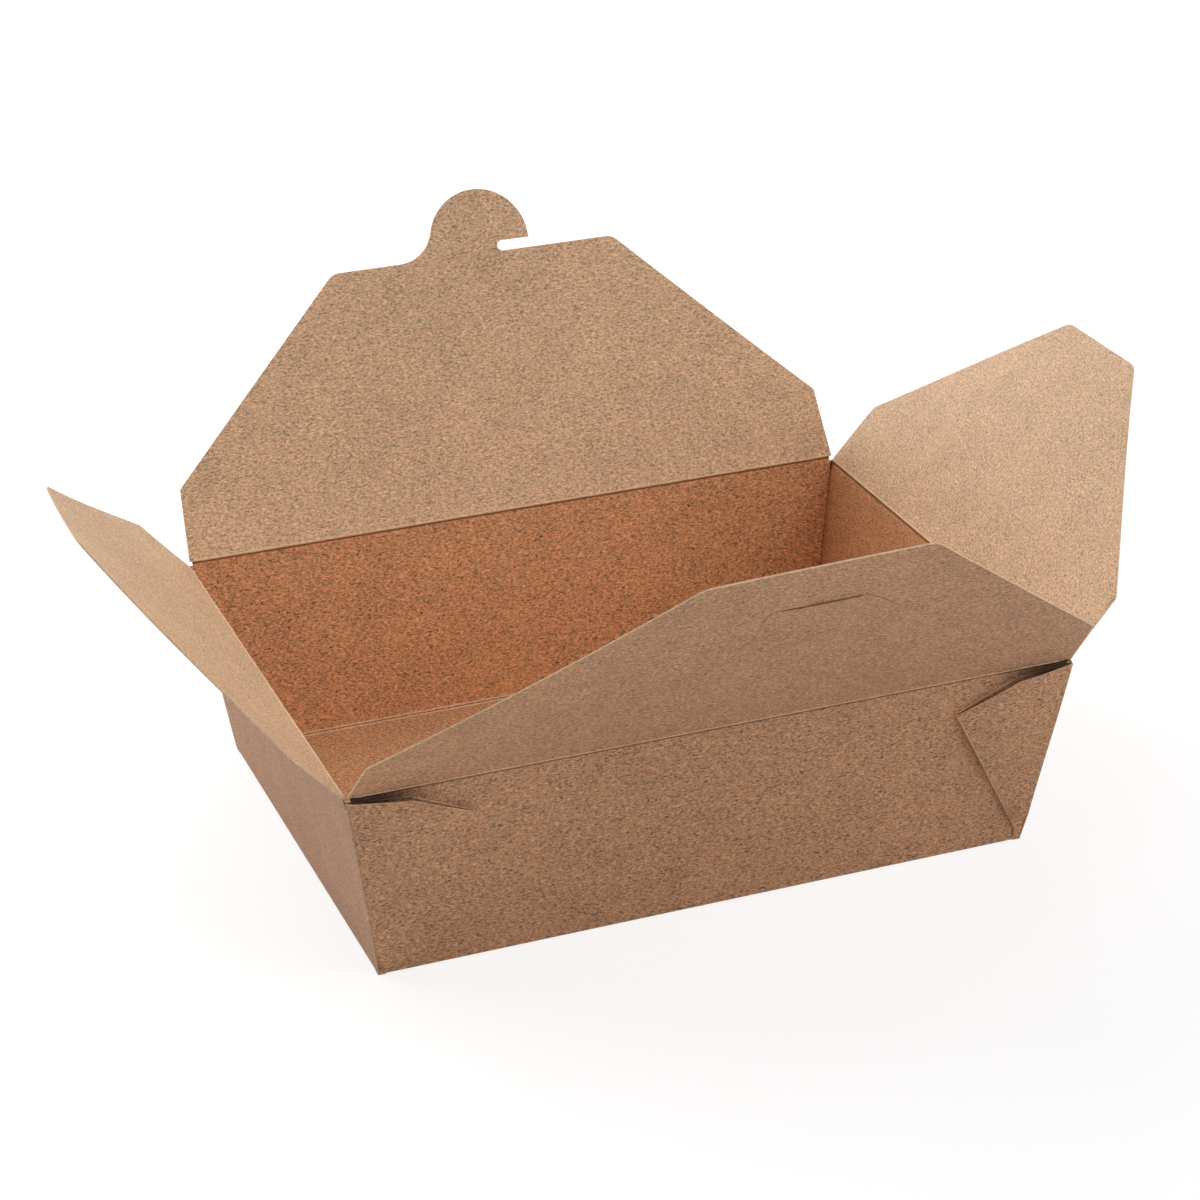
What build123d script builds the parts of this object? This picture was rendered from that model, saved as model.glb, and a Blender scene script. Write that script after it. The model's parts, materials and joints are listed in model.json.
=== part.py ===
from build123d import *
import os
from math import atan, cos, radians, sin, sqrt

# A takeaway food box: one die-cut sheet of kraft board, creased, folded up and glued at its corners.
# The tray's walls lean out, a folded gusset lies on the outside of the front and back walls at every
# corner, and four flaps stand open round the mouth. The back flap's tab locks in the front flap's slit.
# Millimetres. +X runs along the length, +Y from front to back and +Z up. The origin is the middle of
# the tray's underside. Sizes along the sheet are taken at the middle of the board's thickness.

# Board and folds
board = 0.45  # thickness
fold_radius = 0.5  # the bottom's four folds
corner_radius = 0.45  # the upright fold between an end wall and a gusset
hinge_gap = 0.10  # at a flap's crease, between the rounded edges of flap and wall
flap_spacing = 0.25  # between one closed flap and the next one over it
side_clearance = 0.30  # between a flap's fold and the walls at its two ends

# Tray
base_length = 197.0
base_width = 142.8
end_lean = 9.5  # how far each end wall leans out, up to the height of the front crease
side_lean = 8.35  # and the front and back walls
height = 61.2  # of the front crease

# Gussets
inner_layer_gap = 0.12  # between a wall and the gusset layer glued to it
outer_layer_gap = 0.30  # between the two layers of a gusset
tip_drop = 11.5  # from the crease down to the gusset's tip, where its two layers' fold ends
knee_inset = 18.0  # where the gusset's top edge bends, in from the mouth's corner
knee_drop = 2.9  # and below the crease
corner_crevice = 0.10  # between a wall's folded edge and the end wall
flattened_height = 12.0  # the gusset is pressed flat from here down to the tray's bottom corner

# Flaps: each has two short shoulders, then two slanted sides up to its far edge
long_shoulder_inset = 1.9  # of the shoulders from the tray's corners, on the front and back flaps
end_shoulder_inset = 1.0  # and on the end flaps
shoulder_radius = 1.0
tip_radius = 5.5

front_open_angle = 50.4  # above level, standing open outwards
front_tip_width = 64.0
front_shoulder_depth = 21.5

back_open_angle = 62.2
back_depth = 81.1
back_tip_width = 93.2
back_shoulder_depth = 22.2

left_open_angle = 47.9
right_open_angle = 48.9
end_depth = 78.9
end_tip_width = 39.5
end_shoulder_depth = 21.6

# Tab on the back flap, and the slit in the front flap that takes it
tab_radius = 16.2
tab_offset = 2.6  # right of the flap's middle
tab_rise = 4.2  # centre of the round head, beyond the flap's far edge
tab_root_radius = 12.0
hook_width = 3.3  # notch under the head's right side
hook_reach = 10.7  # the notch's length, from its round inner end to the head's side
slit_width = 0.25
slit_slack = 2.9  # the closed tab's notch overshoots the slit by this much
slit_margin = 22.0  # of board between the slit and the front flap's far edge
slit_shift = 5.3  # the slit's left end, right of the round head's left side
slit_clearance = 5.9  # how much longer the slit is than the head is wide
slit_left_drop = 5.6  # the slit's left end is turned back this far towards the crease
slit_left_radius = 3.0
slit_right_drop = 8.8  # and its right end this far, along a slant of this length
slit_right_slant = 10.5
slit_right_radius = 9.0

# Lean of the walls, and the heights of the creases: the flaps that close first have the lowest
mouth_length = base_length + 2 * end_lean
mouth_width = base_width + 2 * side_lean
side_slope = side_lean / (height - board / 2)
end_slope = end_lean / (height - board / 2)
closing_step = board + flap_spacing
front_crease = height
back_crease = height + closing_step
end_crease = height - closing_step


def wall_at(base, slope, z):
    """Distance from the tray's middle to the middle of a wall's thickness, at height z."""
    return base / 2 + slope * (z - board / 2)


def wall_end(base, slope, crease):
    """Centre of a wall's rounded top edge, just under its crease: distance from the middle, height."""
    z = crease - (board + hinge_gap) * cos(atan(slope))
    return wall_at(base, slope, z), z


front_hinge = wall_at(base_width, side_slope, front_crease)
back_hinge = wall_at(base_width, side_slope, back_crease)
end_hinge = wall_at(base_length, end_slope, end_crease)
front_end = wall_end(base_width, side_slope, front_crease)
back_end = wall_end(base_width, side_slope, back_crease)
end_wall_end = wall_end(base_length, end_slope, end_crease)

# The front right corner: its upright edge, and the directions square to that edge along both walls
corner = Vector(base_length / 2, -base_width / 2, board / 2)
edge_direction = Vector(end_slope, -side_slope, 1).normalized()
front_outward = Vector(0, -1, -side_slope).normalized()
end_outward = Vector(1, 0, -end_slope).normalized()
along_front = front_outward.cross(edge_direction).normalized()
along_end = edge_direction.cross(end_outward).normalized()
corner_turn = radians(along_front.get_angle(along_end))
front_flare = edge_direction.get_angle(Vector(0, -side_slope, 1))
end_flare = edge_direction.get_angle(Vector(end_slope, 0, 1))

# The web between the two walls is folded in half, so its diagonal halves what the flares leave of 90
diagonal_angle = radians((90 - front_flare - end_flare) / 2)
diagonal = edge_direction * cos(diagonal_angle) + along_front * sin(diagonal_angle)
across_diagonal = along_front * cos(diagonal_angle) - edge_direction * sin(diagonal_angle)

# Places on the front wall: x along the box and y up the slant, from the middle of the bottom fold
slant = sqrt(1 + side_slope**2)
crease_slant = (height - board / 2) * slant
diagonal_lean = diagonal_angle - radians(front_flare)
gusset_diagonal = (crease_slant - tip_drop) / cos(diagonal_lean)
gusset_tip = Vector(base_length / 2 - gusset_diagonal * sin(diagonal_lean), crease_slant - tip_drop)
gusset_knee = Vector(mouth_length / 2 - knee_inset, crease_slant - knee_drop)
gusset_top = (end_wall_end[1] - board / 2) * slant

# How far the gusset's two layers lie in front of the wall, middle to middle
inner_layer = board + inner_layer_gap
outer_layer = inner_layer + board + outer_layer_gap
folded_edge = board / 2 + corner_crevice + board + inner_layer_gap / 2
stub = 1.0  # overlap of neighbouring stretches of the sheet
trim_overrun = 4.0  # how far the cut along the gusset's top edge runs on past its tip

# Two stretches of the corner, square to its upright edge: the front wall turned back into the
# gusset's inner layer, and the end wall turned round the corner into the outer layer
edge_section = Plane(origin=corner, x_dir=along_front, z_dir=edge_direction)
end_wall_line = Vector(cos(corner_turn), -sin(corner_turn))
reach = mouth_width / 2  # longer than any gusset, and cut back below
with BuildPart() as corner_folds:
    with BuildSketch(edge_section):
        with BuildLine():
            Line((folded_edge + stub, 0), (folded_edge, 0))
            ThreePointArc(
                (folded_edge, 0),
                (folded_edge - inner_layer / 2, inner_layer / 2),
                (folded_edge, inner_layer),
            )
            Line((folded_edge, inner_layer), (folded_edge + 2 * stub, inner_layer))
            offset(amount=board / 2)
        make_face()
        with BuildLine():
            FilletPolyline(
                end_wall_line * (2 * stub + corner_radius),
                end_wall_line * (-outer_layer / sin(corner_turn)),
                (folded_edge + 2 * stub, outer_layer),
                radius=corner_radius,
            )
            offset(amount=board / 2)
        make_face()
    extrude(amount=reach, both=True)

# The gusset's two layers, joined by the half-round fold along the diagonal
layer_middle = (inner_layer + outer_layer) / 2
layer_fold = (outer_layer - inner_layer) / 2
fold_centre = -layer_fold - board / 2
diagonal_section = Plane(origin=corner, x_dir=across_diagonal, z_dir=diagonal)
with BuildPart() as gussets:
    with BuildSketch(diagonal_section):
        with BuildLine():
            Line((-reach, inner_layer), (fold_centre, inner_layer))
            ThreePointArc(
                (fold_centre, inner_layer),
                (fold_centre + layer_fold, layer_middle),
                (fold_centre, outer_layer),
            )
            Line((fold_centre, outer_layer), (-reach, outer_layer))
            offset(amount=board / 2)
        make_face()
    extrude(amount=gusset_diagonal + stub, both=True)
    split(bisect_by=Plane(origin=corner + along_front * (folded_edge + stub), z_dir=along_front))
    add(corner_folds.part)

    # Top edge of the gusset: level at the corner, down to the knee, then down to the tip
    with BuildSketch(Plane(origin=(0, corner.Y, corner.Z), x_dir=(1, 0, 0), z_dir=front_outward)):
        past_tip = gusset_tip + (gusset_tip - gusset_knee).normalized() * trim_overrun
        with BuildLine():
            Polyline(
                past_tip,
                gusset_knee,
                (mouth_length / 2 - stub, gusset_top),
                (mouth_length, gusset_top),
                (mouth_length, height + reach),
                (past_tip.X, height + reach),
                close=True,
            )
        make_face()
    extrude(amount=2 * outer_layer, mode=Mode.SUBTRACT)

    # Level ends at the mouth and the floor, and the taper that is pressed flat at the bottom corner
    split(bisect_by=Plane.XY.offset(end_wall_end[1]), keep=Keep.BOTTOM)
    split(bisect_by=Plane.XY, keep=Keep.TOP)
    taper_foot = corner + front_outward * (board / 2)
    up_front = Vector(0, -side_slope, 1).normalized()
    taper_head = taper_foot + up_front * flattened_height + front_outward * outer_layer
    taper_outward = Vector(1, 0, 0).cross(taper_head - taper_foot)
    split(bisect_by=Plane(origin=taper_foot, z_dir=taper_outward), keep=Keep.BOTTOM)

    mirror(about=Plane.YZ)
    mirror(about=Plane.XZ)

# Front wall, bottom and back wall in one channel, cut to the slant of the ends. Its floor reaches
# the start of the end folds, and its walls stop where they turn back into the gussets.
floor_half = base_length / 2 - fold_radius
wall_inset = folded_edge + stub / 2
cut_height = 2 * height
with BuildPart() as side_channel:
    with BuildSketch(Plane.YZ):
        with BuildLine():
            FilletPolyline(
                (-front_end[0], front_end[1]),
                (-base_width / 2, board / 2),
                (base_width / 2, board / 2),
                back_end,
                radius=fold_radius,
            )
            offset(amount=board / 2)
        make_face()
    extrude(amount=mouth_length, both=True)
    with BuildSketch(Plane.XZ):
        with BuildLine():
            Polyline(
                (0, -board),
                (floor_half, -board),
                (floor_half, board),
                (wall_at(base_length, end_slope, board) - wall_inset, board),
                (wall_at(base_length, end_slope, cut_height) - wall_inset, cut_height),
                (0, cut_height),
            )
            mirror(about=Plane.YZ)
        make_face()
    extrude(amount=mouth_width, both=True, mode=Mode.INTERSECT)

# The end walls with the same bottom, cut to the slant of the sides just inside the front and back walls
with BuildPart() as tray:
    with BuildSketch(Plane.XZ):
        with BuildLine():
            FilletPolyline(
                (-end_wall_end[0], end_wall_end[1]),
                (-base_length / 2, board / 2),
                (base_length / 2, board / 2),
                end_wall_end,
                radius=fold_radius,
            )
            offset(amount=board / 2)
        make_face()
    extrude(amount=mouth_width, both=True)
    with BuildSketch(Plane.YZ):
        with BuildLine():
            Polyline(
                (0, -board),
                (wall_at(base_width, side_slope, -board) - fold_radius, -board),
                (wall_at(base_width, side_slope, cut_height) - fold_radius, cut_height),
                (0, cut_height),
            )
            mirror(about=Plane.YZ)
        make_face()
    extrude(amount=mouth_length, both=True, mode=Mode.INTERSECT)
    add(side_channel.part)
    add(gussets.part)


def flap_plane(open_angle, outward, fold_line, hinge, crease):
    """The plane of a flap standing open: x along its fold, y from the fold towards its far edge."""
    away = outward * cos(radians(open_angle)) + Vector(0, 0, 1) * sin(radians(open_angle))
    return Plane(origin=outward * hinge + Vector(0, 0, crease), x_dir=fold_line, z_dir=fold_line.cross(away))


def flap_blank(plane, fold_half, shoulder_half, shoulder_depth, tip_half, depth):
    """A flap of plain board: a rounded fold, short shoulders, slanted sides and a straight far edge."""
    with BuildPart() as blank:
        with BuildSketch(plane):
            with BuildLine():
                FilletPolyline(
                    (-fold_half, 0),
                    (-shoulder_half, shoulder_depth),
                    (-tip_half, depth),
                    (tip_half, depth),
                    (shoulder_half, shoulder_depth),
                    (fold_half, 0),
                    radius=[shoulder_radius, tip_radius, tip_radius, shoulder_radius],
                )
                Line((fold_half, 0), (-fold_half, 0))
            make_face()
        extrude(amount=board / 2, both=True)
        with BuildSketch(Plane(origin=plane.from_local_coords((-fold_half, 0, 0)), z_dir=plane.x_dir)):
            Circle(board / 2)
        extrude(amount=2 * fold_half)
    return blank.part


# The front flap, and its slit for the tab: straight, with both ends turned back towards the crease
right = Vector(1, 0, 0)
rear = Vector(0, 1, 0)
long_fold_half = mouth_length / 2 - board / 2 - side_clearance
long_shoulder_half = mouth_length / 2 - long_shoulder_inset
slit_depth = mouth_width - back_depth - hook_width / 2 - slit_slack
slit_left = tab_offset - tab_radius + slit_shift
slit_right = slit_left + 2 * tab_radius + slit_clearance
front_plane = flap_plane(front_open_angle, -rear, right, front_hinge, front_crease)
front_blank = flap_blank(
    front_plane,
    long_fold_half,
    long_shoulder_half,
    front_shoulder_depth,
    front_tip_width / 2,
    slit_depth + slit_margin,
)
with BuildPart() as front_flap:
    add(front_blank)
    with BuildSketch(front_plane):
        with BuildLine():
            FilletPolyline(
                (slit_left, slit_depth - slit_left_drop),
                (slit_left, slit_depth),
                (slit_right - slit_right_slant, slit_depth),
                (slit_right, slit_depth - slit_right_drop),
                radius=[slit_left_radius, slit_right_radius],
            )
        trace(line_width=slit_width)
    extrude(amount=board, both=True, mode=Mode.SUBTRACT)

# The back flap, and its tab: a round head, blended into the far edge on its left and with a notch
# under its right side. The tab is drawn with a strip of the flap that lies inside its outline.
tab_strip = back_tip_width - 4 * tip_radius
notch_end = tab_offset + tab_radius - hook_reach + hook_width / 2
back_plane = flap_plane(back_open_angle, rear, right, back_hinge, back_crease)
back_blank = flap_blank(
    back_plane,
    long_fold_half,
    long_shoulder_half,
    back_shoulder_depth,
    back_tip_width / 2,
    back_depth,
)
with BuildPart() as back_flap:
    add(back_blank)
    with BuildSketch(back_plane) as tab:
        with Locations((0, back_depth)):
            Rectangle(tab_strip, tab_radius, align=(Align.CENTER, Align.MAX))
        with Locations((tab_offset, back_depth + tab_rise)):
            Circle(tab_radius)
        far_edge_corners = tab.vertices().filter_by(lambda v: abs(v.Y - back_depth) < board)
        fillet(far_edge_corners.sort_by(Axis.X)[1], radius=tab_root_radius)
        with Locations((notch_end, back_depth + hook_width / 2)):
            Circle(hook_width / 2, mode=Mode.SUBTRACT)
            Rectangle(tab_radius, hook_width, align=(Align.MIN, Align.CENTER), mode=Mode.SUBTRACT)
    extrude(amount=board / 2, both=True)

# The end flaps, alike but standing open at slightly different angles
end_fold_half = wall_at(base_width, side_slope, end_crease) - board / 2 - side_clearance
end_shoulder_half = mouth_width / 2 - end_shoulder_inset
end_outline = (end_fold_half, end_shoulder_half, end_shoulder_depth, end_tip_width / 2, end_depth)
left_plane = flap_plane(left_open_angle, -right, rear, end_hinge, end_crease)
right_plane = flap_plane(right_open_angle, right, rear, end_hinge, end_crease)
left_blank = flap_blank(left_plane, *end_outline)
right_blank = flap_blank(right_plane, *end_outline)
with BuildPart() as left_flap:
    add(left_blank)
with BuildPart() as right_flap:
    add(right_blank)

tray.part.label = "tray"
front_flap.part.label = "front_flap"
back_flap.part.label = "back_flap"
left_flap.part.label = "left_flap"
right_flap.part.label = "right_flap"

os.makedirs("parts", exist_ok=True)
export_step(tray.part, "parts/tray.step")
export_step(front_flap.part, "parts/front_flap.step")
export_step(back_flap.part, "parts/back_flap.step")
export_step(left_flap.part, "parts/left_flap.step")
export_step(right_flap.part, "parts/right_flap.step")
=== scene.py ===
"""Looks of an open takeaway box of brown kraft board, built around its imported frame.

Lengths are in metres.
"""

import json
import math

import bmesh
import bpy
from mathutils import Matrix, Vector, noise


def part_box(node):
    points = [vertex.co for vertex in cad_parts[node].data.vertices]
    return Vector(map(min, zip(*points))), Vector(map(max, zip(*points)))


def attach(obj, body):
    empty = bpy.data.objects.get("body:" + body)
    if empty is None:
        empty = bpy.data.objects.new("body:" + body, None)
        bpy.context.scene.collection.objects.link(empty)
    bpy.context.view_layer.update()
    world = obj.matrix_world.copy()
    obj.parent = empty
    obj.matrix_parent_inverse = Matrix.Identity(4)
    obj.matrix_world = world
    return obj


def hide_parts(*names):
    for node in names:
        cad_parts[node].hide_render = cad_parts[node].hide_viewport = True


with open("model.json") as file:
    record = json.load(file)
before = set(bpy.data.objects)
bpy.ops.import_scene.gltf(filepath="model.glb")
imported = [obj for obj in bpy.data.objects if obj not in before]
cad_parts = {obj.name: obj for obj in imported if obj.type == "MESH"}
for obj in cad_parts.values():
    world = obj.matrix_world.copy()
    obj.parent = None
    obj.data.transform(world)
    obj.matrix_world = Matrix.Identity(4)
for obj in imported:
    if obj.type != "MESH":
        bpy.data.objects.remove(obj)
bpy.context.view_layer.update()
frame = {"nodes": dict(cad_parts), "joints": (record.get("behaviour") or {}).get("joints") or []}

# ---------------------------------------------------------------- driving values

MM = 0.001
UP = Vector((0, 0, 1))
HALF_BOARD = 0.225 * MM

# The mesh grid that lets a flat board bend: the spacing and start of its rows, and extra rows beside
# each fold.
GRID = 4 * MM
GRID_START = 1.5 * MM
FOLD_ROWS = [0.5 * MM, 0.8 * MM, 1.1 * MM, 1.5 * MM, 2.2 * MM]
MERGE_DISTANCE = 0.002 * MM
FLAT_ANGLE = math.radians(0.4)
SHARP_ANGLE = math.radians(32)

# The walls lean outwards by these runs over their height, and bow inwards a little between their corners.
WALL_HEIGHT = 61.2 * MM
SIDE_SLOPE = 8.35 * MM / WALL_HEIGHT
END_SLOPE = 9.5 * MM / WALL_HEIGHT
WALL_REACH = 4 * MM
BOW_SPAN = 2.1
WALL_BOW = 0.45 * MM
WALL_WAVE = 0.25 * MM
WAVE_SIZE = 45 * MM

# The folded corners: the outer layer springs off the inner one along its free top edge.
LAYERS = 1.8 * MM
LAYER_GAP_INNER = 0.85 * MM
LAYER_GAP_OUTER = 1.05 * MM
CORNER_LIFT = 1.8 * MM
CORNER_LENGTH = 38 * MM
CORNER_LIFT_FOOT = 22 * MM
CORNER_LIFT_SLANT = 0.5

# Painted shade in the gap between those layers: the board is painted darker there, by distance from the
# middle of the box and by height. GAP_SHADE is what is left of the board's colour where that painted shade
# is darkest.
GAP_START = 76 * MM
GAP_FULL = 104 * MM
GAP_FOOT = 55 * MM
GAP_TOP = 59 * MM
GAP_SHADE = 0.15

# The rounded crease that each flap turns on, the pair of creases round the bottom, and the pressed
# score line.
BEAD_RADIUS = 0.38 * MM
BEAD_INSET = 0.04 * MM
BEAD_SIDES = 14
BEAD_SWELL = 0.14
BEAD_TAPER = 0.5
BEAD_WAVE = 9 * MM
BASE_BEAD_RADIUS = 0.30 * MM
BASE_CREASE_OFFSET = 0.36 * MM
BASE_CREASE_INSET = 0.75 * MM
BASE_CREASE_RISE = 0.55 * MM
BASE_CREASE_END = 1.0 * MM
SCORE_DEPTH = 1.15 * MM
SCORE_HALF_WIDTH = 0.32 * MM
SCORE_RELIEF = 0.17 * MM
WALL_TOP_ROUND = 0.56 * MM
WALL_TOP_LIFT = 0.36 * MM

# How near its wall's middle surface a point of the inner board lies. Faces under BOTTOM_TOP are the
# bottom's, and faces that look up over WALL_TOP_START are cut edges.
ON_WALL = 1.3 * HALF_BOARD
ON_INNER_FACE = 1.2 * HALF_BOARD
BOTTOM_TOP = 1 * MM
WALL_TOP_START = 8 * MM

# How squarely a direction has to lie along another, from 0 to 1, to count as lying along it.
SQUARELY = 0.5
UPWARDS = 0.8
SIDEWAYS = 0.4

# The slit in the front flap, in millimetres: the tongue below it stands a little open.
SLIT_DEPTH = 73.85
SLIT_LEFT = -10.0
SLIT_RIGHT = 32.0
SLIT_LOW = 62.0
SLIT_HIGH = SLIT_DEPTH + 1.0
SLIT_START = -7.5
SLIT_END = 22.0
SLIT_FADE = 8.0
SLIT_LIP = 7.0
SLIT_OPENING = 0.45

joints = {joint["child"]: joint for joint in frame["joints"]}
nodes = frame["nodes"]
HALF_LENGTH = abs(joints["right_flap"]["pos_m"][0])
HALF_WIDTH = abs(joints["back_flap"]["pos_m"][1])


def smooth(low, high, value):
    """A soft step from 0 at low to 1 at high."""
    share = min(max((value - low) / (high - low), 0.0), 1.0)
    return share * share * (3 - 2 * share)


# ---------------------------------------------------------------- the folds


def fold_frame(flap):
    """Origin, direction along the fold, direction away from it and outside normal of an open flap."""
    joint = joints[flap]
    origin = Vector(joint["pos_m"])
    outwards = Vector((origin.x, origin.y, 0)).normalized()
    opened = math.radians(joint["range_deg"][1])
    along = Vector((abs(outwards.y), abs(outwards.x), 0))
    away = outwards * math.cos(opened) + UP * math.sin(opened)
    outside = outwards * math.sin(opened) - UP * math.cos(opened)
    return origin, along, away, outside


# How each open flap bends outside its plane. With u along its fold and v away from it, both in millimetres:
# lean is the tilt at the fold, twist makes one side lean more, belly bends it along the fold, and curl and
# tip_curl bend it away from the fold. Closed, the bends nest, so that the flaps still lie on each other.
FLAPS = {
    "front_flap": {"lean": 0.012, "twist": -2.8e-4, "belly": 1.3e-6, "curl": 0.0, "tip_curl": -1.6e-6},
    "back_flap": {"lean": 0.074, "twist": -7e-5, "belly": 0.0, "curl": -6.9e-4, "tip_curl": 0.0},
    "left_flap": {"lean": 0.100, "twist": -1.3e-4, "belly": -1.2e-5, "curl": -1.3e-3, "tip_curl": 0.0},
    "right_flap": {"lean": -0.105, "twist": 1.8e-4, "belly": 1.3e-5, "curl": 1.1e-3, "tip_curl": 0.0},
}


def in_slit(flap, u, v):
    """Whether a cut edge of a flap, at u and v in millimetres, is a side of the slit."""
    return flap == "front_flap" and SLIT_LEFT < u < SLIT_RIGHT and SLIT_LOW < v < SLIT_HIGH


def bend_of(flap, u, v):
    """How far a point of a flap stands outside its plane, all in millimetres."""
    shape = FLAPS[flap]
    bend = v * (shape["lean"] + shape["twist"] * u + shape["belly"] * u**2)
    bend += shape["curl"] * v**2 + shape["tip_curl"] * v**3
    if flap == "front_flap" and v < SLIT_DEPTH:
        window = smooth(SLIT_START, SLIT_START + SLIT_FADE, u)
        window *= 1 - smooth(SLIT_END - SLIT_FADE, SLIT_END, u)
        bend += SLIT_OPENING * window * smooth(SLIT_DEPTH - SLIT_LIP, SLIT_DEPTH, v)
    return bend


# ---------------------------------------------------------------- board meshes


def cut(board, point, normal):
    """Adds a row of edges to a mesh where a plane passes through it."""
    parts = board.verts[:] + board.edges[:] + board.faces[:]
    bmesh.ops.bisect_plane(board, geom=parts, dist=MERGE_DISTANCE, plane_co=point, plane_no=normal)


def cut_rows(board, origin, direction, spacing):
    """Rows of edges all over a mesh, evenly spaced along a direction."""
    places = [(vertex.co - origin).dot(direction) for vertex in board.verts]
    first = math.ceil(min(places) / spacing)
    last = math.floor(max(places) / spacing)
    for step in range(first, last + 1):
        cut(board, origin + direction * (step * spacing), direction)


def open_node(node):
    """A CAD node's shape as an editable mesh whose flat faces are each one polygon."""
    board = bmesh.new()
    board.from_mesh(nodes[node].data)
    bmesh.ops.remove_doubles(board, verts=board.verts[:], dist=MERGE_DISTANCE)
    bmesh.ops.dissolve_limit(board, angle_limit=FLAT_ANGLE, verts=board.verts[:], edges=board.edges[:])
    return board


def add_piece(name, board, body, materials):
    """A new object from an editable mesh, which rides on a body."""
    bmesh.ops.triangulate(board, faces=[face for face in board.faces if len(face.verts) > 4])
    mesh = bpy.data.meshes.new(name)
    board.to_mesh(mesh)
    board.free()
    for material in materials:
        mesh.materials.append(material)
    mesh.set_sharp_from_angle(angle=SHARP_ANGLE)
    piece = bpy.data.objects.new(name, mesh)
    bpy.context.scene.collection.objects.link(piece)
    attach(piece, body)
    return piece


def paint(board, choose):
    """Gives each face the material slot that choose(face) says."""
    for face in board.faces:
        face.material_index = choose(face)
        face.smooth = True


# The places of the board's materials in every piece, in the order of BOARD_MATERIALS.
INSIDE, OUTSIDE, CUT_EDGE, TRAY_INSIDE_SHADED, CREASE_WEAR_AND_HIGHLIGHT, GROOVE_SHADE = range(6)


# ---------------------------------------------------------------- flaps


def make_flap(flap):
    """A flap's board, warped a little as a folded carton's flaps are."""
    origin, along, away, outside = fold_frame(flap)
    board = open_node(flap)
    cut_rows(board, origin, along, GRID)
    cut_rows(board, origin, away, GRID)
    for row in FOLD_ROWS:
        cut(board, origin + away * row, away)
    board.normal_update()

    def side(face):
        facing = face.normal.dot(outside)
        if abs(facing) < SQUARELY:
            place = (face.calc_center_median() - origin) / MM
            # The sides of the slit are painted dark, as shade.
            return GROOVE_SHADE if in_slit(flap, place.dot(along), place.dot(away)) else CUT_EDGE
        return OUTSIDE if facing > 0 else INSIDE

    paint(board, side)
    for vertex in board.verts:
        place = vertex.co - origin
        bend = bend_of(flap, place.dot(along) / MM, place.dot(away) / MM) * MM
        vertex.co += outside * bend
    board.normal_update()
    piece = add_piece(flap + "_board", board, flap, BOARD_MATERIALS)
    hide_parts(flap)


# ---------------------------------------------------------------- tray


def wall_distance(point, side):
    """How far a point lies outside the middle of the front (-1) or back (+1) wall."""
    anchor = Vector(joints["back_flap" if side > 0 else "front_flap"]["pos_m"])
    return side * (point.y - anchor.y) - (point.z - anchor.z) * SIDE_SLOPE


def end_distance(point, side):
    """How far a point lies outside the middle of the left (-1) or right (+1) wall."""
    anchor = Vector(joints["right_flap" if side > 0 else "left_flap"]["pos_m"])
    return side * (point.x - anchor.x) - (point.z - anchor.z) * END_SLOPE


def inner_walls(point):
    """For each wall whose inner board holds a point: outward direction, slope, and depth below its fold."""
    for joint in joints.values():
        origin = Vector(joint["pos_m"])
        outwards = Vector((origin.x, origin.y, 0)).normalized()
        slope = SIDE_SLOPE if abs(outwards.y) > SQUARELY else END_SLOPE
        below = origin.z - point.z
        if abs((point - origin).dot(outwards) + below * slope) < ON_WALL:
            yield outwards, slope, below


def corner_lift(point):
    """How far a folded corner's outer layer springs away at a point of it."""
    from_corner = HALF_LENGTH - abs(point.x)
    share = min(max(from_corner / CORNER_LENGTH, 0.0), 1.0)
    rise = smooth(CORNER_LIFT_FOOT, WALL_HEIGHT, point.z + CORNER_LIFT_SLANT * from_corner)
    return CORNER_LIFT * rise * math.sin(math.pi * share)


def shape_tray(point):
    """Where a point of the flat-walled tray goes on the slightly bowed one."""
    moved = point.copy()
    height = math.sin(math.pi * min(max(point.z / WALL_HEIGHT, 0.0), 1.0))
    wave = WALL_WAVE * noise.noise(point / WAVE_SIZE)
    for side in (-1, 1):
        distance = wall_distance(point, side)
        near = 1 - smooth(WALL_REACH / 2, WALL_REACH, abs(distance))
        across = math.cos(math.pi * point.x / (BOW_SPAN * HALF_LENGTH))
        moved.y += side * near * height * across * (wave - WALL_BOW)
        layer = smooth(LAYER_GAP_INNER, LAYER_GAP_OUTER, distance)
        moved.y += side * near * layer * corner_lift(point)
        end_near = 1 - smooth(WALL_REACH / 2, WALL_REACH, abs(end_distance(point, side)))
        end_across = math.cos(math.pi * point.y / (BOW_SPAN * HALF_WIDTH))
        moved.x += side * end_near * height * end_across * (wave - WALL_BOW)
    return moved


def close_wall_top(point):
    """Lifts the rounded top of a wall into its crease, so that no gap shows."""
    for outwards, slope, below in inner_walls(point):
        if -HALF_BOARD < below < WALL_TOP_ROUND:
            return point + (UP + outwards * slope) * WALL_TOP_LIFT
    return point


def in_groove(point):
    """Whether a point of a wall lies in the pressed groove between its fold and its score line, which is
    painted dark as shade.
    """
    return any(below < SCORE_DEPTH - SCORE_HALF_WIDTH for _, _, below in inner_walls(point))


def press_score(point):
    """Presses a line into a wall just below its fold, so that a ridge stands out on the outside."""
    moved = point.copy()
    for outwards, _, below in inner_walls(point):
        share = 1 - min(abs(below - SCORE_DEPTH) / SCORE_HALF_WIDTH, 1.0)
        moved += outwards * (SCORE_RELIEF * share)
    return moved


def painted_gap_shade_at(point):
    """How strongly a point is painted dark, as shade in the gap above a folded corner, from 0 to 1."""
    outside = max(wall_distance(point, -1), wall_distance(point, 1))
    if not 0 < outside < LAYER_GAP_INNER:
        return 0.0
    return smooth(GAP_START, GAP_FULL, abs(point.x)) * smooth(GAP_FOOT, GAP_TOP, point.z)


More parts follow.
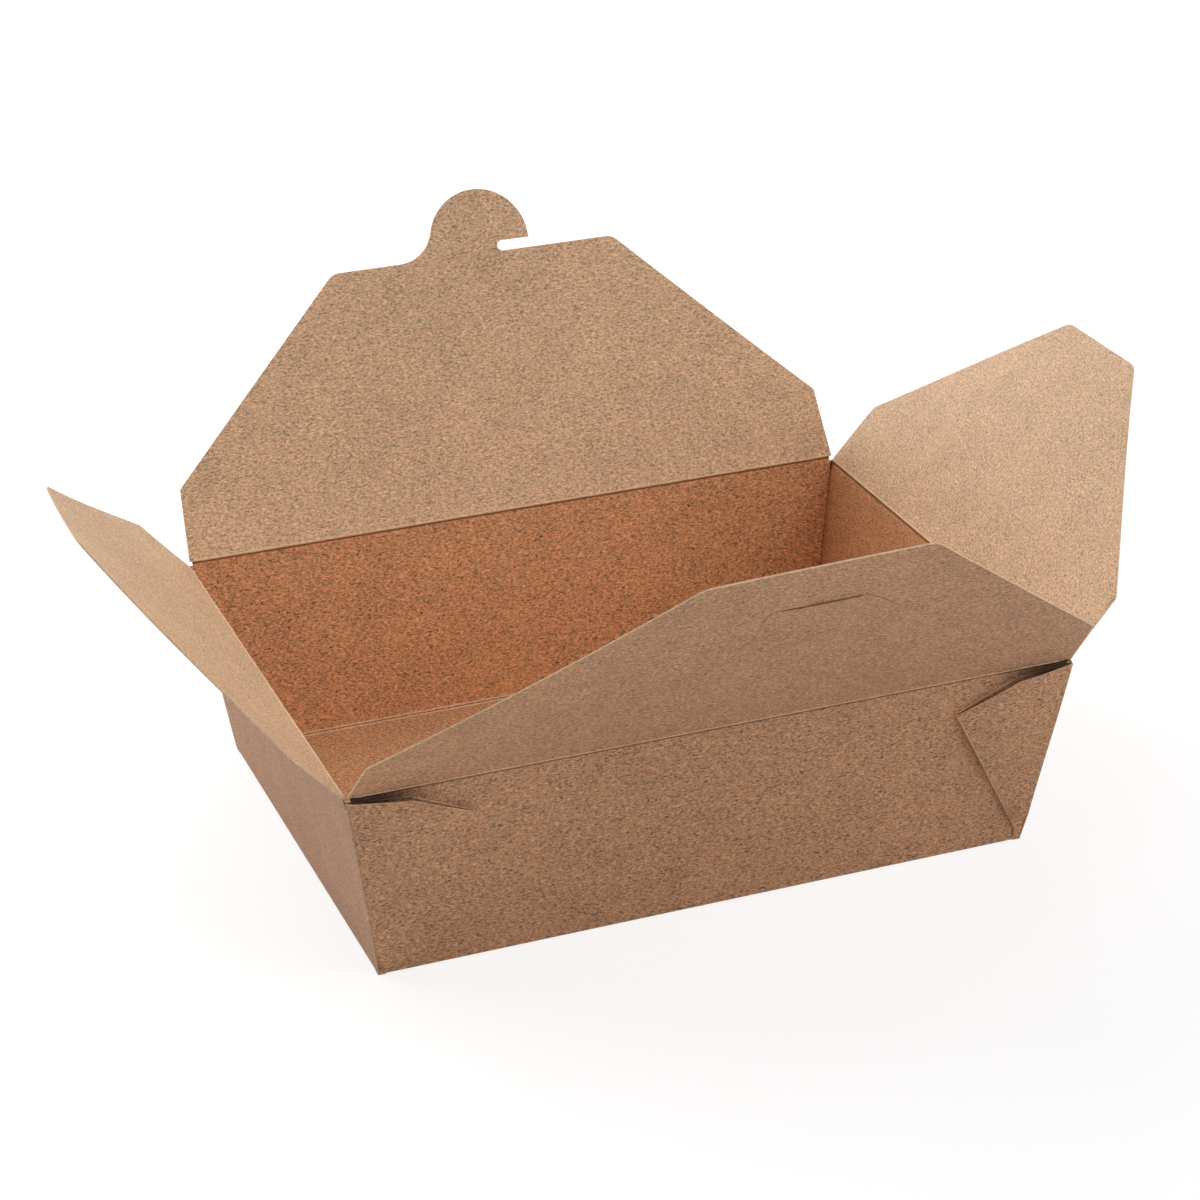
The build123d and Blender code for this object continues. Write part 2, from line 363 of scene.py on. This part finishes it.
def tray_side(face):
    """The material slot of a face of the tray."""
    centre = face.calc_center_median()
    side_walls = min(abs(wall_distance(centre, 1)), abs(wall_distance(centre, -1)))
    end_walls = min(abs(end_distance(centre, 1)), abs(end_distance(centre, -1)))
    if face.normal.z > UPWARDS and centre.z > WALL_TOP_START:
        return CUT_EDGE
    # The rolled edge of each folded corner gets the light crease board: partly pressed, worn board and
    # partly a painted highlight.
    if abs(face.normal.x) > SIDEWAYS and side_walls < LAYERS < end_walls:
        return CREASE_WEAR_AND_HIGHLIGHT
    # Painted shade: the pressed groove below each fold gets the dark board.
    if in_groove(centre):
        return GROOVE_SHADE
    # The inside of the tray gets a darker, more orange copy of the inside board: painted shade for the
    # hollow of the tray.
    if centre.z < BOTTOM_TOP:
        return TRAY_INSIDE_SHADED if face.normal.z > 0 else OUTSIDE
    towards_middle = face.normal.x * centre.x + face.normal.y * centre.y < 0
    return TRAY_INSIDE_SHADED if towards_middle and min(side_walls, end_walls) < ON_INNER_FACE else OUTSIDE


def make_tray():
    """The tray of bottom, walls and folded corners."""
    board = open_node("tray")
    cut_rows(board, Vector((0, 0, 0)), Vector((1, 0, 0)), GRID)
    cut_rows(board, Vector((0, 0, 0)), Vector((0, 1, 0)), GRID)
    cut_rows(board, Vector((0, 0, GRID_START)), UP, GRID)
    for joint in joints.values():
        for share in (-1, 0, 1):
            height = joint["pos_m"][2] - SCORE_DEPTH + share * SCORE_HALF_WIDTH
            cut(board, Vector((0, 0, height)), UP)
    board.normal_update()
    paint(board, tray_side)
    # Painted shade: how dark each point of the board is painted in the gaps above the folded corners.
    painted_gap_shade = board.verts.layers.float.new("painted_gap_shade")
    for vertex in board.verts:
        vertex[painted_gap_shade] = painted_gap_shade_at(vertex.co)
        vertex.co = shape_tray(press_score(close_wall_top(vertex.co)))
    board.normal_update()
    piece = add_piece("tray_board", board, "tray", BOARD_MATERIALS)
    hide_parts("tray")


# ---------------------------------------------------------------- creases


def make_bead(name, start, end, radius):
    """A rounded ridge of pressed board from start to end, a little uneven along its length."""
    run = end - start
    along = run.normalized()
    sideways = UP.cross(along)
    board = bmesh.new()
    rings = []
    count = round(run.length / GRID)
    for step in range(count + 1):
        place = start + run * (step / count)
        swell = 1 + BEAD_SWELL * noise.noise(place / BEAD_WAVE)
        if step in (0, count):
            swell = BEAD_TAPER
        ring = []
        for turn in range(BEAD_SIDES):
            angle = 2 * math.pi * turn / BEAD_SIDES
            spoke = sideways * math.cos(angle) + UP * math.sin(angle)
            ring.append(board.verts.new(place + spoke * (radius * swell)))
        rings.append(ring)
    for ring, following in zip(rings, rings[1:]):
        for turn in range(BEAD_SIDES):
            after = (turn + 1) % BEAD_SIDES
            board.faces.new((ring[turn], ring[after], following[after], following[turn]))
    board.faces.new(rings[0][::-1])
    board.faces.new(rings[-1])
    bmesh.ops.recalc_face_normals(board, faces=board.faces[:])
    # Light crease board: partly pressed, worn board and partly a painted highlight.
    paint(board, lambda face: CREASE_WEAR_AND_HIGHLIGHT)
    add_piece(name, board, "tray", BOARD_MATERIALS)


def make_fold_crease(flap):
    """The ridge along a flap's fold, which the flap turns on."""
    origin, along, _, _ = fold_frame(flap)
    low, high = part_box(flap)
    half = along * ((high - low).dot(along) / 2)
    outwards = Vector((origin.x, origin.y, 0)).normalized()
    middle = origin - outwards * BEAD_INSET
    make_bead(flap.replace("_flap", "_crease"), middle - half, middle + half, BEAD_RADIUS)


def make_base_crease(flap):
    """The pair of ridges inside the tray where a wall folds up from the bottom."""
    origin, along, _, _ = fold_frame(flap)
    outwards = Vector((origin.x, origin.y, 0)).normalized()
    is_side = abs(outwards.y) > SQUARELY
    slope = SIDE_SLOPE if is_side else END_SLOPE
    foot = abs(origin.dot(outwards)) - origin.z * slope
    across = joints["right_flap" if is_side else "back_flap"]["pos_m"]
    reach = across[0] if is_side else across[1]
    other_slope = END_SLOPE if is_side else SIDE_SLOPE
    half = along * (reach - across[2] * other_slope - BASE_CREASE_END)
    places = {"low": (BASE_CREASE_INSET, 0), "high": (BASE_CREASE_RISE * -slope, BASE_CREASE_RISE)}
    for row, (inset, rise) in places.items():
        middle = outwards * (foot - BASE_CREASE_OFFSET - inset) + UP * (2 * HALF_BOARD + rise)
        name = flap.replace("_flap", "_base_crease_") + row
        make_bead(name, middle - half, middle + half, BASE_BEAD_RADIUS)


# ---------------------------------------------------------------- materials


class Nodes:
    """A short way to write a material's nodes."""

    def __init__(self, material):
        self.tree = material.node_tree
        self.tree.nodes.clear()

    def add(self, kind, inputs=None, **settings):
        node = self.tree.nodes.new(kind)
        for name, value in settings.items():
            setattr(node, name, value)
        for name, value in (inputs or {}).items():
            if isinstance(value, bpy.types.NodeSocket):
                self.tree.links.new(value, node.inputs[name])
            else:
                node.inputs[name].default_value = value
        return node

    def math(self, operation, first, second):
        return self.add("ShaderNodeMath", {0: first, 1: second}, operation=operation).outputs[0]

    def noise(self, place, size, detail, roughness=0.5):
        inputs = {"Vector": place, "Scale": 1 / size, "Detail": detail, "Roughness": roughness}
        return self.add("ShaderNodeTexNoise", inputs).outputs["Fac"]

    def remap(self, value, low, high, to_low, to_high):
        inputs = {"Value": value, "From Min": low, "From Max": high, "To Min": to_low, "To Max": to_high}
        return self.add("ShaderNodeMapRange", inputs, interpolation_type="SMOOTHSTEP").outputs["Result"]


# Sizes of the board's grain, from single fibres to slow mottling, and how strongly the slow ones show.
FINE_SIZE = 0.42 * MM
FIBRE_SIZE = 0.5 * MM
FLECK_SIZE = 0.55 * MM
CLOUD_SIZE = 11 * MM
BROAD_SIZE = 48 * MM
FIBRE_STRETCH = (0.5, 1, 1)
FIBRE_SHARE = 0.8
LIGHT_FLECK_SHARE = 0.8
CLOUD_SHADE = 0.045
BROAD_SHADE = 0.025

# The bands of a noise's values that are spread over the grain, and those that show as flecks.
WIDE_BAND = (0.25, 0.75)
MIDDLE_BAND = (0.3, 0.7)
DARK_FLECKS = (0.60, 0.72)
LIGHT_FLECKS = (0.40, 0.28)

# The relief and gloss of the board.
BUMP_STRENGTH = 0.35
BUMP_DISTANCE = 0.06 * MM
GLOSS_SPREAD = 0.07
GLOSS_LEVEL = 0.22


def kraft(name, colour, grain, fleck, gloss_roughness):
    """Uncoated brown board: fine grain, fibres along the sheet, light and dark flecks, slow mottling and
    painted corner shade.
    """
    material = bpy.data.materials.new(name)
    material.use_nodes = True
    nodes_of = Nodes(material)
    place = nodes_of.add("ShaderNodeTexCoord").outputs["Object"]
    stretched = nodes_of.add("ShaderNodeMapping", {"Vector": place, "Scale": FIBRE_STRETCH}).outputs[0]
    fine = nodes_of.noise(place, FINE_SIZE, detail=2, roughness=0.6)
    fibre = nodes_of.noise(stretched, FIBRE_SIZE, detail=2, roughness=0.6)
    spots = nodes_of.noise(stretched, FLECK_SIZE, detail=0)
    cloud = nodes_of.noise(place, CLOUD_SIZE, detail=3)
    broad = nodes_of.noise(place, BROAD_SIZE, detail=1)

    terms = [
        nodes_of.remap(fine, *WIDE_BAND, -grain, grain),
        nodes_of.remap(fibre, *MIDDLE_BAND, -grain * FIBRE_SHARE, grain * FIBRE_SHARE),
        nodes_of.remap(spots, *DARK_FLECKS, 0, -fleck),
        nodes_of.remap(spots, *LIGHT_FLECKS, 0, fleck * LIGHT_FLECK_SHARE),
        nodes_of.remap(cloud, *MIDDLE_BAND, -CLOUD_SHADE, CLOUD_SHADE),
        nodes_of.remap(broad, *MIDDLE_BAND, -BROAD_SHADE, BROAD_SHADE),
    ]
    shade = 1.0
    for term in terms:
        shade = nodes_of.math("ADD", shade, term)
    # Painted shade: the colour is darkened, down to GAP_SHADE, in the gaps above the folded corners.
    painted_gap_shade = nodes_of.add("ShaderNodeAttribute", attribute_name="painted_gap_shade").outputs["Fac"]
    shade = nodes_of.math("MULTIPLY", shade, nodes_of.remap(painted_gap_shade, 0, 1, 1, GAP_SHADE))
    tint = nodes_of.add("ShaderNodeCombineColor", {"Red": colour[0], "Green": colour[1], "Blue": colour[2]})
    scaled = nodes_of.add("ShaderNodeVectorMath", {0: tint.outputs[0], "Scale": shade}, operation="SCALE")

    relief = nodes_of.math("ADD", fine, fibre)
    bumps = {"Strength": BUMP_STRENGTH, "Distance": BUMP_DISTANCE, "Height": relief}
    bump = nodes_of.add("ShaderNodeBump", bumps)
    smoothest = gloss_roughness - GLOSS_SPREAD
    roughness = nodes_of.remap(fibre, *MIDDLE_BAND, smoothest, gloss_roughness + GLOSS_SPREAD)
    inputs = {
        "Base Color": scaled.outputs[0],
        "Roughness": roughness,
        "Specular IOR Level": GLOSS_LEVEL,
        "Normal": bump.outputs[0],
    }
    surface = nodes_of.add("ShaderNodeBsdfPrincipled", inputs)
    nodes_of.add("ShaderNodeOutputMaterial", {"Surface": surface.outputs[0]})
    return material


# Each one's colour, then the strength of its grain and of its flecks, and its roughness.
BOARD_MATERIALS = [
    kraft("kraft_inside", (0.69, 0.46, 0.285), 0.29, 0.32, 0.60),
    kraft("kraft_outside", (0.51, 0.28, 0.159), 0.33, 0.38, 0.60),
    kraft("kraft_cut_edge", (0.76, 0.55, 0.37), 0.14, 0.05, 0.8),
    # A darker, more orange copy of the inside board: painted shade for the hollow of the tray.
    kraft("kraft_tray_inside_painted_shade", (0.63, 0.335, 0.172), 0.36, 0.40, 0.60),
    # Partly pressed, worn board and partly a painted highlight, on the ridges and the folded corners' edges.
    kraft("kraft_crease_wear_and_highlight", (0.80, 0.55, 0.36), 0.16, 0.10, 0.65),
    # Painted shade, for the pressed grooves and the sides of the slit.
    kraft("kraft_groove_painted_shade", (0.24, 0.12, 0.062), 0.20, 0.10, 0.75),
]


# ---------------------------------------------------------------- the pieces

make_tray()
for flap_name in FLAPS:
    make_flap(flap_name)
    make_fold_crease(flap_name)
    make_base_crease(flap_name)


# ---------------------------------------------------------------- floor, light and camera


# The floor is matt white for light, and glows where it is seen: less near the box, where its shadow falls,
# and up to white far from it.
FLOOR_HALF = 4.0
FLOOR_DROP = 0.05 * MM
FLOOR_WHITE = (0.9, 0.9, 0.9, 1)
SHADOW_WHITE = (0.3, 0.3, 0.3, 1)
GLOW_NEAR = 0.80
GLOW_NEAR_REACH = 0.3
GLOW_FAR_REACH = 1.0
WORLD_LIGHT = 0.04
WHITE = (1, 1, 1, 1)


def seen_rays(nodes_of):
    """A switch that is 1 for what is seen, straight or by gloss or glass, and 0 for light on the object."""
    path = nodes_of.add("ShaderNodeLightPath").outputs
    mirrored = nodes_of.math("MAXIMUM", path["Is Glossy Ray"], path["Is Transmission Ray"])
    return nodes_of.math("MAXIMUM", path["Is Camera Ray"], mirrored)


def make_floor():
    """A plain white floor that keeps the object's shadow."""
    board = bmesh.new()
    bmesh.ops.create_grid(board, x_segments=1, y_segments=1, size=FLOOR_HALF)
    mesh = bpy.data.meshes.new("floor")
    board.to_mesh(mesh)
    board.free()
    floor = bpy.data.objects.new("floor", mesh)
    floor.location.z = -FLOOR_DROP
    bpy.context.scene.collection.objects.link(floor)
    material = bpy.data.materials.new("white_floor")
    material.use_nodes = True
    nodes_of = Nodes(material)
    seen = seen_rays(nodes_of)
    place = nodes_of.add("ShaderNodeTexCoord").outputs["Object"]
    from_middle = nodes_of.add("ShaderNodeVectorMath", {0: place}, operation="LENGTH").outputs["Value"]
    strength = nodes_of.remap(from_middle, GLOW_NEAR_REACH, GLOW_FAR_REACH, GLOW_NEAR, 1.0)
    paper = nodes_of.add("ShaderNodeBsdfDiffuse", {"Color": FLOOR_WHITE})
    faint = nodes_of.add("ShaderNodeBsdfDiffuse", {"Color": SHADOW_WHITE})
    glow = nodes_of.add("ShaderNodeEmission", {"Color": WHITE, "Strength": strength})
    shown = nodes_of.add("ShaderNodeAddShader", {0: faint.outputs[0], 1: glow.outputs[0]})
    both = nodes_of.add("ShaderNodeMixShader", {0: seen, 1: paper.outputs[0], 2: shown.outputs[0]})
    nodes_of.add("ShaderNodeOutputMaterial", {"Surface": both.outputs[0]})
    mesh.materials.append(material)


def make_world():
    """Even white light from all round, and a white background for the camera."""
    world = bpy.data.worlds.new("studio")
    bpy.context.scene.world = world
    world.use_nodes = True
    nodes_of = Nodes(world)
    seen = seen_rays(nodes_of)
    strength = nodes_of.remap(seen, 0, 1, WORLD_LIGHT, 1.0)
    background = nodes_of.add("ShaderNodeBackground", {"Color": WHITE, "Strength": strength})
    nodes_of.add("ShaderNodeOutputWorld", {"Surface": background.outputs[0]})


# Soft boxes round the table: where each one stands, and its power in watts.
SOFT_BOXES = {
    "back": ((0.0, 1.5, 0.75), 15.0),
    "back_left": ((-0.85, 0.9, 1.1), 15.5),
    "front_right": ((1.1, -1.0, 1.0), 13.5),
    "front": ((0.0, -1.5, 0.75), 3.5),
    "top": ((0.0, 0.0, 1.6), 5.0),
}
SOFT_BOX_SIZE = 1.4
SOFT_BOX_TARGET = Vector((0, 0, 0.05))


def make_soft_box(name, place, power):
    """A square soft light that faces the middle of the box."""
    light = bpy.data.lights.new(name, "AREA")
    light.shape = "SQUARE"
    light.size = SOFT_BOX_SIZE
    light.energy = power
    lamp = bpy.data.objects.new(name, light)
    lamp.location = place
    lamp.rotation_mode = "QUATERNION"
    lamp.rotation_quaternion = (SOFT_BOX_TARGET - lamp.location).to_track_quat("-Z", "Y")
    bpy.context.scene.collection.objects.link(lamp)


def make_camera():
    """The camera stands in front of the box, to the left and above, and leans a little."""
    azimuth = math.radians(-21.167)
    elevation = math.radians(25.37)
    roll = math.radians(-0.662)
    target = Vector((0.01439, 0.04936, 0.04))
    distance = 1.0002
    back = Vector(
        (
            math.sin(azimuth) * math.cos(elevation),
            -math.cos(azimuth) * math.cos(elevation),
            math.sin(elevation),
        )
    )
    right = UP.cross(back).normalized()
    over = back.cross(right)
    x_axis = right * math.cos(roll) + over * math.sin(roll)
    y_axis = over * math.cos(roll) - right * math.sin(roll)
    lens = bpy.data.cameras.new("camera")
    lens.lens = 96.36
    lens.sensor_width = 36
    lens.clip_start = 0.05
    camera = bpy.data.objects.new("camera", lens)
    turn = Matrix((x_axis, y_axis, back)).transposed().to_4x4()
    camera.matrix_world = Matrix.Translation(target + back * distance) @ turn
    bpy.context.scene.collection.objects.link(camera)
    bpy.context.scene.camera = camera


make_floor()
make_world()
for box_name, (box_place, box_power) in SOFT_BOXES.items():
    make_soft_box(box_name, box_place, box_power)
make_camera()
bpy.context.scene.view_settings.view_transform = "Standard"
